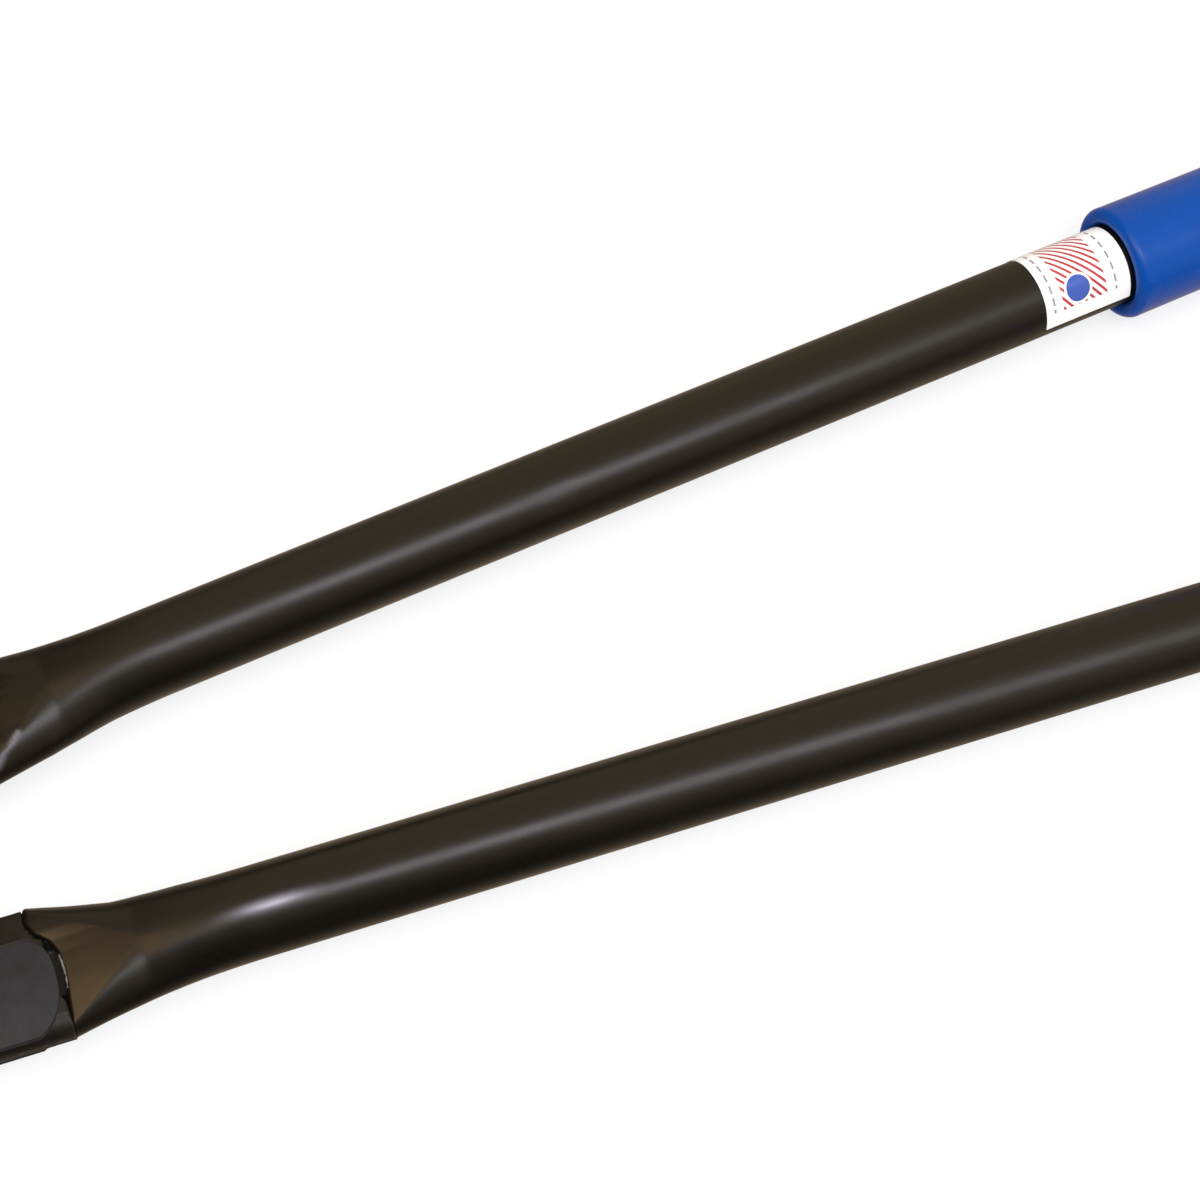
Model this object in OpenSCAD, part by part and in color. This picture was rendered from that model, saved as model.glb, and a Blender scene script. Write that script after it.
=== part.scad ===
// Heavy bolt cutters with tubular handles, closed, lying flat with the jaws towards -X.
// The origin is on the centre bolt's axis, on the plane that the tool rests on; +Z is up.
// "right" is the +Y side and "left" the -Y side, as seen by someone who holds the grips.

/* [Handles] */
// Outer diameter of the handle tubes
tube_d = 32; // [26:0.5:38]
// Wall of the handle tubes
tube_wall = 2; // [1.5:0.1:2.5]
// From the tube's mouth to the closed end of its grip
handle_len = 640; // [520:1:780]
// Angle between each handle and the centre line, closed
splay = 3.62; // [2:0.02:5]
// Width of the flattened mouth of each tube
mouth_w = 46; // [40:0.5:50]
// Thickness of the flattened mouth of each tube
mouth_t = 15; // [12:0.5:18]
// Length over which the tube changes from flat to round
flare_len = 66; // [45:1:85]

/* [Grips] */
// Outer diameter of the grips
grip_d = 45.5; // [40:0.5:52]
// Length of the grips
grip_len = 169.5; // [120:0.5:210]
// Thickness of the closed end of the grips
grip_end = 6; // [3:0.5:10]

/* [Label] */
// Length of the label along the tube
label_len = 38.5; // [20:0.5:60]
// Angle that the label wraps round the tube
label_wrap = 230; // [90:5:320]
// From the label to the grip's mouth
label_gap = 1; // [1:0.5:12]

/* [Linkage] */
// From the centre bolt to each link bolt
toggle_r = 38; // [36:0.5:46]
// Lean of the line between them from square, closed
toggle_lean = 18; // [10:0.5:24]
// From each link bolt to the jaw bolt on its side
jaw_lever = 54; // [48:0.5:70]
// From the centre line to each jaw bolt
jaw_bolt_y = 19; // [18:0.5:24]

/* [Head] */
// Thickness of the jaws
jaw_t = 14; // [10:0.5:18]
// Thickness of the straps and of each cheek of the forks
plate_t = 7; // [5:0.5:10]
// From the jaw bolt to the tip of the jaw
jaw_nose = 86; // [70:1:105]
// From the centre bolt to the mouths of the tubes
arm_len = 118; // [105:1:150]
// From the centre line to each tube's axis at its mouth
arm_out = 47; // [42:0.2:56]
// Thickness of the arms beside the tubes
arm_t = 16; // [14.5:0.5:20]

/* [Fasteners] */
// Diameter of the pivot bolts
bolt_d = 16; // [12:0.5:18]
// Width across flats of the bolt heads and nuts
bolt_af = 24; // [20:0.5:27]
// Height of the nuts
nut_h = 11; // [8:0.5:15]
// Thickness of the spring washers
washer_t = 2.4; // [1.5:0.1:4]
// Diameter of the stop screw
stop_d = 10; // [8:0.5:12]
// Opening between the two stop faces
stop_gap = 12; // [10:0.5:16]

/* [Hidden] */
$fn = 96;

// Clearances
slide_gap = 0.1;        // between faces that slide on each other
bore_play = 0.05;       // radial, bolt in bore
tang_play = 0.05;        // tang in the flattened tube
edge_gap = 0.1;         // from each cutting edge to the centre line
swing_gap = 0.6;        // round an eye that turns inside a fork
open_play = 2.45;       // radial, left jaw on its jaw bolt: the pivot that closes the loop

// Levels
mid_z = grip_d / 2;
core_h = jaw_t / 2;                       // half of a jaw or of the tongue
stack_h = core_h + slide_gap + plate_t;   // half of a strap, jaw and strap together
head_h = mid_z - stack_h;                 // bolt heads stand level with the grips
nut_z = mid_z + stack_h + washer_t;
bolt_top = nut_z + nut_h + 2.2;

// Pivots on the right side; the left side mirrors them
link_p = [-toggle_r * sin(toggle_lean), toggle_r * cos(toggle_lean)];
lever_lean = asin((link_p.y - jaw_bolt_y) / jaw_lever);
jaw_p = link_p - jaw_lever * [cos(lever_lean), sin(lever_lean)];
mouth_p = [arm_len, arm_out];

// Eyes round the bolts
bore_r = bolt_d / 2 + bore_play;
centre_eye = bolt_d / 2 + 9;
link_eye = bolt_d / 2 + 7;
cheek_eye = link_eye + 1;
strap_eye = bolt_d / 2 + 9;
jaw_eye = jaw_bolt_y - edge_gap - 1.2;
slot_r = link_eye + swing_gap;

// Nose of the jaws
tip_x = jaw_p.x - jaw_nose;
tip_w = 10;
nose_r = 4;
heel_x = jaw_p.x - strap_eye - 6;         // rear end of the cutting edge
heel_r = 5;
land_h = 1;                               // half the flat left on the cutting edge
bevel_w = 13;

// Arms of the handle forgings
arm_w = mouth_w + 1.4;                    // width of the shoulder that the tube meets
stop_x = centre_eye + 25;                 // middle of the stop faces
stop_len = 20;
stop_af = 1.7 * stop_d;
stop_head = 0.6 * (stop_gap - edge_gap);
stop_depth = 20;                          // of the stop screw in the right forging
draft_x0 = stop_x + stop_len / 2 - 4;     // where the forging starts to thin towards the tube
draft_x1 = draft_x0 + 24;
pad_h = 1.2;                              // step of the raised pad on each face of an arm
pad_in = 12;                              // how far the pad reaches from the tube's axis, inwards
pad_out = 21;                             // and outwards
pad_len = 52;
pad_r = 8;
seam = 2.5;                               // from the shoulder to the tube's mouth
pad_back = seam + 0.5;                    // from the pad to the tube's mouth
swing = 56;                               // how far a jaw turns in its fork, with room to spare
tang_len = 45;

// Tubes and grips
tube_r = tube_d / 2;
bore_in = tube_r - tube_wall;
tube_len = handle_len - grip_end;
flare_rings = 10;
flare_sides = 32;
thinning = 0.15;                          // the drawn-out flare is this much thinner on each face
drawn_d = tube_d - 2 * thinning;
drawn_wall = tube_wall - 2 * thinning;
lip_r = (grip_d - tube_d) / 4;            // round mouth of a grip, half its wall
end_r = 9;                                // round edge of a grip's closed end
label_t = 0.3;
label_from = 171;                         // angle of the label's lower edge, from the tube's side

steel = [0.55, 0.55, 0.56];
bolt_black = [0.22, 0.22, 0.23];
forging_grey = [0.25, 0.24, 0.24];
tube_black = [0.18, 0.165, 0.13];
grip_blue = [0.06, 0.33, 0.71];

function unit(a) = [cos(a), sin(a)];
function arc(p, r, from, to, n = 6) = [for (i = [0:n]) p + r * unit(from + (to - from) * i / n)];
function bezier(a, b, c, d, n = 10) =
    [for (i = [0:n]) let (t = i / n)
        pow(1 - t, 3) * a + 3 * pow(1 - t, 2) * t * b + 3 * (1 - t) * t * t * c + pow(t, 3) * d];
function along(p, s, out) = p + s * unit(splay) + out * unit(splay + 90);

// Width and thickness of the tube at s from its mouth
function flare(s, power) = pow(max(0, 1 - s / flare_len), power);
function tube_width(s) = drawn_d + (mouth_w - drawn_d) * flare(s, 2.1);
function tube_thick(s) = drawn_d - (drawn_d - mouth_t) * flare(s, 1.5);
function slot_ring(w, h, x, n) =
    [for (i = [0:n - 1]) let (a = (i + 0.5) * 360 / n)
        [x, sign(cos(a)) * (w - h) / 2 + h / 2 * cos(a), h / 2 * sin(a)]];

// Faces between successive rings of n points, and the two flat ends
function skin(m, n) =
    [for (j = [0:m - 2]) for (i = [0:n - 1])
        [j * n + i, (j + 1) * n + i, (j + 1) * n + (i + 1) % n, j * n + (i + 1) % n]];
module loft(rings) {
    n = len(rings[0]);
    m = len(rings);
    polyhedron([for (r = rings) each r],
               concat(skin(m, n), [[for (i = [0:n - 1]) i]],
                      [[for (i = [n - 1:-1:0]) (m - 1) * n + i]]), convexity = 6);
}

module both_sides() {
    children();
    mirror([0, 1, 0]) children();
}
module slab(h) {
    translate([0, 0, mid_z - h]) linear_extrude(2 * h) children();
}
module band(z0, z1) {
    translate([0, 0, z0]) linear_extrude(z1 - z0) children();
}
module disc(p, r) {
    translate(p) circle(r);
}
module at_handle(s = 0) {
    translate([mouth_p.x, mouth_p.y, mid_z]) rotate([0, 0, splay]) translate([s, 0, 0]) children();
}
module upright(p, r, z0, z1) {
    translate([p.x, p.y, z0]) cylinder(h = z1 - z0, r = r);
}

// ---- jaws and straps ----

module jaw_outline() {
    taper = asin((jaw_eye - link_eye) / jaw_lever);
    outer = lever_lean + 90 + taper;
    inner = lever_lean - 90 - taper;
    difference() {
        polygon(concat(
            [[jaw_p.x - 3, edge_gap], [tip_x + nose_r, edge_gap]],
            arc([tip_x + nose_r, edge_gap + nose_r], nose_r, 270, 180),
            bezier([tip_x, tip_w], [tip_x + 10, tip_w + 16],
                   jaw_p + jaw_eye * unit(outer) - [32, 9], jaw_p + jaw_eye * unit(outer)),
            arc(link_p, link_eye, outer, inner, 24),
            arc(jaw_p, jaw_eye, inner, -98, 3)));
        disc([heel_x, edge_gap], heel_r);
    }
}
module jaw_blank(pivot_play) {
    difference() {
        slab(core_h) jaw_outline();
        for (side = [0, 1]) translate([tip_x - 1, 0, mid_z]) mirror([0, 0, side])
            rotate([90, 0, 90]) linear_extrude(heel_x - tip_x + 1)
                polygon([[-1, land_h], [edge_gap, land_h], [bevel_w, core_h + 0.01],
                         [bevel_w, core_h + 1], [-1, core_h + 1]]);
        upright(jaw_p, bolt_d / 2 + pivot_play, mid_z - core_h - 1, mid_z + core_h + 1);
        upright(link_p, bore_r, mid_z - core_h - 1, mid_z + core_h + 1);
    }
}
module right_jaw() {
    color(steel) jaw_blank(bore_play);
}
module left_jaw() {
    color(steel) mirror([0, 1, 0]) jaw_blank(open_play);
}
module strap(z0) {
    over = 12;                            // each round end runs on past square, to a slight waist
    band(z0, z0 + plate_t) difference() {
        polygon(concat(arc(jaw_p, strap_eye, -over, 180 + over, 34),
                       arc([jaw_p.x, -jaw_p.y], strap_eye, 180 - over, 360 + over, 34)));
        both_sides() disc(jaw_p, bore_r);
    }
}
module top_strap() {
    color(bolt_black) strap(mid_z + core_h + slide_gap);
}
module bottom_strap() {
    color(bolt_black) strap(mid_z - stack_h);
}

// ---- bolts, washers and nuts ----

// A hexagon with its corners turned down to a cone at the ends that are named
module hexagon(af, h, low = true, high = true) {
    corner = af / sqrt(3);
    drop = (corner - af / 2) * 0.62;
    intersection() {
        cylinder(h = h, r = corner, $fn = 6);
        rotate_extrude() polygon([
            [0, 0], [low ? af / 2 : corner + 1, 0], [corner + 1, low ? drop * 1.9 : 0],
            [corner + 1, high ? h - drop * 1.9 : h], [high ? af / 2 : corner + 1, h], [0, h]]);
    }
}
module pivot_bolt(p) {
    translate([p.x, p.y, 0]) {
        hexagon(bolt_af, head_h, high = false);
        cylinder(h = bolt_top - 1.2, d = bolt_d);
        translate([0, 0, bolt_top - 1.2]) cylinder(h = 1.2, d1 = bolt_d, d2 = bolt_d - 2.4);
    }
}
module pivot_nut(p) {
    translate([p.x, p.y, nut_z]) difference() {
        hexagon(bolt_af, nut_h, low = false);
        translate([0, 0, -1]) cylinder(h = nut_h + 2, d = bolt_d);
    }
}
// A split ring, a little wider than the bolt
module spring_washer(p) {
    translate([p.x, p.y, nut_z - washer_t]) difference() {
        cylinder(h = washer_t, d = bolt_af + 1);
        translate([0, 0, -1]) cylinder(h = washer_t + 2, r = bolt_d / 2 + 0.2);
        rotate([0, 0, 28]) translate([bolt_d / 2 - 2, -0.6, -1])
            cube([bolt_af, 1.2, washer_t + 2]);
    }
}
module jaw_bolts() {
    color(bolt_black) {
        pivot_bolt(jaw_p);
        pivot_bolt([jaw_p.x, -jaw_p.y]);
    }
}
module jaw_bolt_washers() {
    color(steel) {
        spring_washer(jaw_p);
        spring_washer([jaw_p.x, -jaw_p.y]);
    }
}
module jaw_bolt_nuts() {
    color(bolt_black) {
        pivot_nut(jaw_p);
        pivot_nut([jaw_p.x, -jaw_p.y]);
    }
}
module right_link_bolt() {
    color(bolt_black) pivot_bolt(link_p);
}
module right_link_washer() {
    color(steel) spring_washer(link_p);
}
module right_link_nut() {
    color(bolt_black) pivot_nut(link_p);
}
module left_link_bolt() {
    color(bolt_black) pivot_bolt([link_p.x, -link_p.y]);
}
module left_link_washer() {
    color(steel) spring_washer([link_p.x, -link_p.y]);
}
module left_link_nut() {
    color(bolt_black) pivot_nut([link_p.x, -link_p.y]);
}
module centre_bolt() {
    color(bolt_black) pivot_bolt([0, 0]);
}
module centre_washer() {
    color(steel) spring_washer([0, 0]);
}
module centre_nut() {
    color(bolt_black) pivot_nut([0, 0]);
}
// The stop screw stands across the opening, head to the left forging, shank in the right one
module stop_screw() {
    color(bolt_black) translate([stop_x, -stop_gap / 2 + edge_gap, mid_z]) rotate([-90, 0, 0]) {
        rotate([0, 0, 30]) hexagon(stop_af, stop_head);
        cylinder(h = stop_gap - edge_gap + stop_depth, d = stop_d);
    }
}
module stop_lock_nut() {
    color(steel) translate([stop_x, -stop_gap / 2 + edge_gap + stop_head, mid_z]) rotate([-90, 0, 0])
        difference() {
            rotate([0, 0, 30]) hexagon(stop_af, stop_gap - edge_gap - stop_head);
            translate([0, 0, -1]) cylinder(h = stop_gap, d = stop_d);
        }
}

// ---- handle forgings ----

// From the eye round the link bolt back to the shoulder, with the lobe that carries the stop
module arm_outline() {
    low = stop_gap / 2;
    disc([0, 0], centre_eye);
    disc(link_p, cheek_eye);
    polygon(concat(
        [[centre_eye * 0.75, centre_eye * 0.5], [stop_x - stop_len / 2, low],
         [stop_x + stop_len / 2, low]],
        bezier([stop_x + stop_len / 2 + 3, low + 5], [stop_x + stop_len / 2 + 7, low + 19],
               along(mouth_p, -44, -arm_w / 2 - 0.5), along(mouth_p, -26, -arm_w / 2)),
        [along(mouth_p, -seam, -arm_w / 2), along(mouth_p, -seam, arm_w / 2)],
        bezier(along(mouth_p, -30, arm_w / 2), along(mouth_p, -72, arm_w / 2),
               link_p + [34, 21], link_p + cheek_eye * unit(80)),
        [link_p, 0.2 * link_p]));
}
// Seen from the side: full height over the head, thinning to the arm beside the tube
module side_profile() {
    polygon([[-80, -stack_h], [draft_x0, -stack_h], [draft_x1, -arm_t / 2], [arm_len + 20, -arm_t / 2],
             [arm_len + 20, arm_t / 2], [draft_x1, arm_t / 2], [draft_x0, stack_h], [-80, stack_h]]);
}
// The part of the arm that the jaw's eye turns in, from closed to fully open
module fork_slot() {
    closed = 180 + lever_lean;
    a = link_p + slot_r * unit(closed + 90);
    b = link_p + slot_r * unit(closed - swing - 90);
    disc(link_p, slot_r);
    polygon([link_p, a, a + 60 * unit(closed), link_p + 75 * unit(closed - swing / 2),
             b + 60 * unit(closed - swing), b]);
}
// A flat pad with its two rear corners rounded
module raised_pad() {
    back = -pad_back - pad_r;
    at_handle() translate([0, 0, -arm_t / 2 - pad_h]) linear_extrude(arm_t + 2 * pad_h)
        polygon(concat([[back - pad_len, -pad_in]],
                       arc([back, pad_r - pad_in], pad_r, -90, 0),
                       arc([back, pad_out - pad_r], pad_r, 0, 90),
                       [[back - pad_len, pad_out]]));
}
// Follows the inside of the tube until the tube is round
module tang() {
    root = seam + 3;
    rings = [for (i = [0:6]) let (s = i * tang_len / 6)
        slot_ring(min(tube_width(s) - 2 * drawn_wall, 2 * bore_in - 2) - 2 * tang_play - (i == 6 ? 4 : 0),
                  mouth_t - 2 * drawn_wall - 2 * tang_play, s, 24)];
    at_handle() loft(concat([[for (q = rings[0]) q - [root, 0, 0]]], rings));
}
module forging_blank() {
    difference() {
        union() {
            intersection() {
                slab(stack_h) arm_outline();
                translate([0, 90, mid_z]) rotate([90, 0, 0]) linear_extrude(180) side_profile();
            }
            raised_pad();
            tang();
        }
        slab(core_h + slide_gap) fork_slot();
        upright(link_p, bore_r, mid_z - stack_h - 1, mid_z + stack_h + 1);
        upright([0, 0], bore_r, mid_z - stack_h - 1, mid_z + stack_h + 1);
    }
}
// The right forging has the tongue on the centre bolt, and the stop screw's hole
module right_handle_forging() {
    color(forging_grey) difference() {
        forging_blank();
        for (z = [mid_z + core_h, mid_z - stack_h - 1])
            upright([0, 0], centre_eye + swing_gap, z, z + plate_t + slide_gap + 1);
        translate([stop_x, stop_gap / 2 - 1, mid_z]) rotate([-90, 0, 0])
            cylinder(h = stop_depth + 2, d = stop_d);
    }
}
// The left forging has the fork on the centre bolt
module left_handle_forging() {
    color(forging_grey) mirror([0, 1, 0]) difference() {
        forging_blank();
        upright([0, 0], centre_eye + swing_gap, mid_z - core_h - slide_gap, mid_z + core_h + slide_gap);
    }
}

// ---- tubes, grips and label ----

module tube() {
    function rings(inset) =
        [for (i = [0:flare_rings]) let (s = flare_len * i / flare_rings)
            slot_ring(tube_width(s) - 2 * inset, tube_thick(s) - 2 * inset, s, flare_sides)];
    function pushed(ring, d) = [for (q = ring) q + [d, 0, 0]];
    outer = rings(0);
    inner = rings(drawn_wall);
    last = flare_rings;
    at_handle() {
        difference() {
            loft(concat(outer, [pushed(outer[last], 2)]));
            loft(concat([pushed(inner[0], -1)], inner, [pushed(inner[last], 3)]));
        }
        translate([flare_len, 0, 0]) rotate([0, 90, 0]) difference() {
            cylinder(h = tube_len - flare_len, r = tube_r);
            translate([0, 0, -1]) cylinder(h = tube_len - flare_len + 2, r = bore_in);
        }
    }
}
module right_handle_tube() {
    color(tube_black) tube();
}
module left_handle_tube() {
    color(tube_black) mirror([0, 1, 0]) tube();
}
// Closed sleeve with a round mouth and a round end
module grip() {
    r = grip_d / 2;
    at_handle(handle_len - grip_len) rotate([0, 90, 0]) rotate_extrude() polygon(concat(
        arc([r - lip_r, lip_r], lip_r, 180, 360, 12),
        arc([r - end_r, grip_len - end_r], end_r, 0, 90),
        [[0, grip_len], [0, grip_len - grip_end], [tube_r, grip_len - grip_end]]));
}
module right_grip() {
    color(grip_blue) grip();
}
module left_grip() {
    color(grip_blue) mirror([0, 1, 0]) grip();
}
module handle_label() {
    color("white") at_handle(handle_len - grip_len - label_gap - label_len)
        rotate([90, 0, 90]) linear_extrude(label_len) difference() {
            circle(tube_r + label_t);
            circle(tube_r);
            polygon(concat([[0, 0]], [for (i = [0:4])
                2 * tube_d * unit(label_from + i * (360 - label_wrap) / 4)]));
        }
}

right_jaw();
left_jaw();
top_strap();
bottom_strap();
jaw_bolts();
jaw_bolt_washers();
jaw_bolt_nuts();
right_link_bolt();
right_link_washer();
right_link_nut();
left_link_bolt();
left_link_washer();
left_link_nut();
centre_bolt();
centre_washer();
centre_nut();
right_handle_forging();
left_handle_forging();
right_handle_tube();
left_handle_tube();
right_grip();
left_grip();
handle_label();
stop_screw();
stop_lock_nut();
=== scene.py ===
import math
import bmesh
import bpy
import numpy as np
from mathutils import Euler, Matrix, Vector


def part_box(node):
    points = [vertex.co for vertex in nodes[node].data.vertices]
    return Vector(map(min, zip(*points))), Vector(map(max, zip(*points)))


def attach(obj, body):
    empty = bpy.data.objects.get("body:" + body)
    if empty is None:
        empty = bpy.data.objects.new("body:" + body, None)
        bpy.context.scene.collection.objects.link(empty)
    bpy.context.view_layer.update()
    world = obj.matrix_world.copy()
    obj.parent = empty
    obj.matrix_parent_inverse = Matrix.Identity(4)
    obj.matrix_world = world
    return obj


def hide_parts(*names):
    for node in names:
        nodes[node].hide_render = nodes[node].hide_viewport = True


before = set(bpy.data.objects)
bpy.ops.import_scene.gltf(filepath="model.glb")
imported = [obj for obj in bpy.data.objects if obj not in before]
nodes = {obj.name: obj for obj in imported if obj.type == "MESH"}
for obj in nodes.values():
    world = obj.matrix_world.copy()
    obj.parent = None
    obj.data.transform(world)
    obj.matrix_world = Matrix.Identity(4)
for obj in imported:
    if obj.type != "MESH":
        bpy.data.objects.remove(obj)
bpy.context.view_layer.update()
mm = 0.001
hands = ((1, "right"), (-1, "left"))

# The layout of the tool, in mm and degrees: the same driving sizes as the CAD source
layout = {
    "toggleRadius": 38, "toggleLean": 18, "jawLever": 54, "jawBoltOut": 19,
    "mouthAlong": 118, "mouthOut": 47, "splay": 3.62,
    "handleLength": 640, "gripLength": 169.5,
    "boltDiameter": 16, "boltFlats": 24, "nutHeight": 11, "washerHeight": 2.4,
    "stackHalf": 14.1, "endPastNut": 2.2, "armHalfWidth": 23.7,
}
lowCorner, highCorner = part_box("right_grip")
midHeight = (lowCorner.z + highCorner.z) / 2 / mm
linkAlong = -layout["toggleRadius"] * math.sin(math.radians(layout["toggleLean"]))
linkOut = layout["toggleRadius"] * math.cos(math.radians(layout["toggleLean"]))
leverLean = math.asin((linkOut - layout["jawBoltOut"]) / layout["jawLever"])
jawAlong = linkAlong - layout["jawLever"] * math.cos(leverLean)
print("frame loaded, tool's middle at", round(midHeight, 3), "mm")


# ---- mesh helpers ----

def ringAngles(count):
    # evenly spaced angles once round, in radians
    return np.arange(count) * 2 * np.pi / count


def handlePoints(side, along, out, up):
    # along the handle's axis from the tube's mouth, out from the centre line and up from
    # the middle plane, turned by the splay; side is 1 for the right handle, -1 for the left
    splay = math.radians(layout["splay"])
    x = layout["mouthAlong"] + along * math.cos(splay) - out * math.sin(splay)
    y = side * (layout["mouthOut"] + along * math.sin(splay) + out * math.cos(splay))
    x, y, z = np.broadcast_arrays(x, y, midHeight + up)
    return np.stack([x, y, z], -1)


def handleCoordinates(side, points):
    # the reverse of handlePoints, for an array of points in mm
    splay = math.radians(layout["splay"])
    dx = points[:, 0] - layout["mouthAlong"]
    dy = side * points[:, 1] - layout["mouthOut"]
    along = dx * math.cos(splay) + dy * math.sin(splay)
    out = dy * math.cos(splay) - dx * math.sin(splay)
    return along, out, points[:, 2] - midHeight


def gridFaces(rows, columns, wrapRows, start):
    # quads between neighbouring rows and columns; columns always close on themselves
    r = np.arange(rows if wrapRows else rows - 1)[:, None]
    c = np.arange(columns)[None, :]
    nextRow, nextColumn = (r + 1) % rows, (c + 1) % columns
    corners = [r * columns + c, r * columns + nextColumn,
               nextRow * columns + nextColumn, nextRow * columns + c]
    return start + np.stack(np.broadcast_arrays(*corners), -1).reshape(-1, 4)


def writeMesh(name, grids, sharpAngle=40):
    # each grid is (points in mm, wrapRows); a grid that doesn't wrap gets a flat cap at each end
    vertices, faces, start = [], [], 0
    for points, wrapRows in grids:
        rows, columns = points.shape[:2]
        quads = gridFaces(rows, columns, wrapRows, start).tolist()
        if not wrapRows:
            quads.append(list(range(start, start + columns))[::-1])
            quads.append(list(range(start + (rows - 1) * columns, start + rows * columns)))
        flat = points.reshape(-1, 3)
        if signedVolume(flat, gridFaces(rows, columns, wrapRows, 0)) < 0:
            quads = [quad[::-1] for quad in quads]
        vertices.append(flat)
        faces += quads
        start += rows * columns
    mesh = bpy.data.meshes.new(name)
    mesh.from_pydata(np.concatenate(vertices) * mm, [], faces)
    mesh.validate()
    return linkPiece(name, mesh, sharpAngle)


def signedVolume(vertices, quads):
    # sum of the volumes of the tetrahedra from the mesh's centre to each face; positive if outward
    centred = vertices - vertices.mean(0)
    a, b, c, d = (centred[quads[:, i]] for i in range(4))
    return (np.einsum("ij,ij->i", a, np.cross(b, c)) + np.einsum("ij,ij->i", a, np.cross(c, d))).sum()


def linkPiece(name, mesh, sharpAngle):
    mesh.polygons.foreach_set("use_smooth", np.ones(len(mesh.polygons), bool))
    mesh.set_sharp_from_angle(angle=math.radians(sharpAngle))
    piece = bpy.data.objects.new(name, mesh)
    bpy.context.scene.collection.objects.link(piece)
    return piece


def vertexVectors(mesh, kind):
    vectors = np.zeros(len(mesh.vertices) * 3)
    mesh.vertices.foreach_get(kind, vectors)
    return vectors.reshape(-1, 3)


def meshPoints(mesh):
    return vertexVectors(mesh, "co") / mm


def setMeshPoints(mesh, points):
    mesh.vertices.foreach_set("co", (points * mm).ravel())
    mesh.update()


def setAttribute(mesh, name, values):
    attribute = mesh.attributes.new(name, "FLOAT", "POINT")
    attribute.data.foreach_set("value", values.astype(np.float32))


def solidFromCad(name, node, voxel, smoothing):
    # a merged copy of the CAD solid, remeshed to even quads so that its edges can soften
    mesh = nodes[node].data.copy()
    merged = bmesh.new()
    merged.from_mesh(mesh)
    bmesh.ops.remove_doubles(merged, verts=merged.verts, dist=1e-6)
    merged.to_mesh(mesh)
    merged.free()
    rough = linkPiece(name + "_rough", mesh, 30)
    remesh = rough.modifiers.new("even", "REMESH")
    remesh.mode = "VOXEL"
    remesh.voxel_size = voxel * mm
    soften = rough.modifiers.new("soften", "SMOOTH")
    soften.factor = 0.5
    soften.iterations = smoothing
    evaluated = rough.evaluated_get(bpy.context.evaluated_depsgraph_get())
    finished = bpy.data.meshes.new_from_object(evaluated)
    finished.name = name
    bpy.data.objects.remove(rough)
    finished.materials.clear()
    setAttribute(finished, "edge", edgeSharpness(finished, voxel))
    return linkPiece(name, finished, 60)


def edgeSharpness(mesh, voxel):
    # how far each vertex stands out from the mean of its neighbours, along its normal
    points = meshPoints(mesh)
    edges = np.zeros(len(mesh.edges) * 2, np.int64)
    mesh.edges.foreach_get("vertices", edges)
    edges = edges.reshape(-1, 2)
    around, count = np.zeros_like(points), np.zeros(len(points))
    for a, b in ((0, 1), (1, 0)):
        np.add.at(around, edges[:, a], points[edges[:, b]])
        np.add.at(count, edges[:, a], 1)
    offset = points - around / np.maximum(count, 1)[:, None]
    return np.clip(np.einsum("ij,ij->i", offset, vertexVectors(mesh, "normal")) / voxel / 0.25, 0, 1)


# ---- material helpers ----

def hexColour(code):
    # sRGB hex code to linear RGBA
    channels = [int(code[i:i + 2], 16) / 255 for i in (1, 3, 5)]
    return [c / 12.92 if c <= 0.04045 else ((c + 0.055) / 1.055) ** 2.4 for c in channels] + [1]


def linkInputs(tree, node, links):
    # each input's source is a socket, or a node whose first output is meant
    for key, source in links.items():
        output = source.outputs[0] if isinstance(source, bpy.types.Node) else source
        tree.links.new(output, node.inputs[key])


def addNode(tree, kind, settings=None, links=None):
    # settings go to the node's own properties or, by name or number, to its inputs, where
    # text is a colour's hex code
    node = tree.nodes.new("ShaderNode" + kind)
    for key, value in (settings or {}).items():
        if isinstance(key, str) and hasattr(node, key):
            setattr(node, key, value)
        else:
            node.inputs[key].default_value = hexColour(value) if isinstance(value, str) else value
    linkInputs(tree, node, links or {})
    return node


def newMaterial(name):
    material = bpy.data.materials.new(name)
    material.use_nodes = True
    return material, material.node_tree, material.node_tree.nodes["Principled BSDF"]


def newFinish(name, x, y=0):
    # a material with the piece's own coordinates, as they are and shifted to the piece's middle
    material, tree, shader = newMaterial(name)
    place = addNode(tree, "TexCoord").outputs["Object"]
    middle = addNode(tree, "Mapping", {"Location": (x, y, -midHeight * mm)}, {"Vector": place})
    return material, tree, shader, place, middle


def wornCorners(tree, noise, low, high, most, base, wornCode):
    # paint or oxide rubbed through along the corners: the edge attribute broken up by a noise,
    # from none at low to most at high; returns that amount and the colour it leaves
    edge = addNode(tree, "Attribute", {"attribute_name": "edge"})
    wearAndSheen = addNode(tree, "Math", {"operation": "MULTIPLY"}, {0: edge.outputs["Fac"], 1: noise})
    worn = addNode(tree, "MapRange", {"From Min": low, "From Max": high, "To Max": most}, {"Value": wearAndSheen})
    colour = addNode(tree, "Mix", {"data_type": "RGBA", 7: wornCode}, {0: worn, 6: base.outputs[2]})
    return worn, colour


def perMetre(sizeInMm):
    # a noise's scale that makes its features about this size
    return 1 / (sizeInMm * mm)


def coverSkin(tree, shader, colour, noise, finish, less, more, height, depth, strength=1):
    # roughness that follows a noise by this much either way, and bumps of this depth in mm
    gloss = addNode(tree, "MapRange",
                    {"To Min": finish["roughness"] - less, "To Max": finish["roughness"] + more},
                    {"Value": noise})
    skin = addNode(tree, "Bump", {"Strength": strength, "Distance": depth * mm}, {"Height": height})
    linkInputs(tree, shader, {"Base Color": colour.outputs[2], "Roughness": gloss, "Normal": skin})
    return skin
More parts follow.
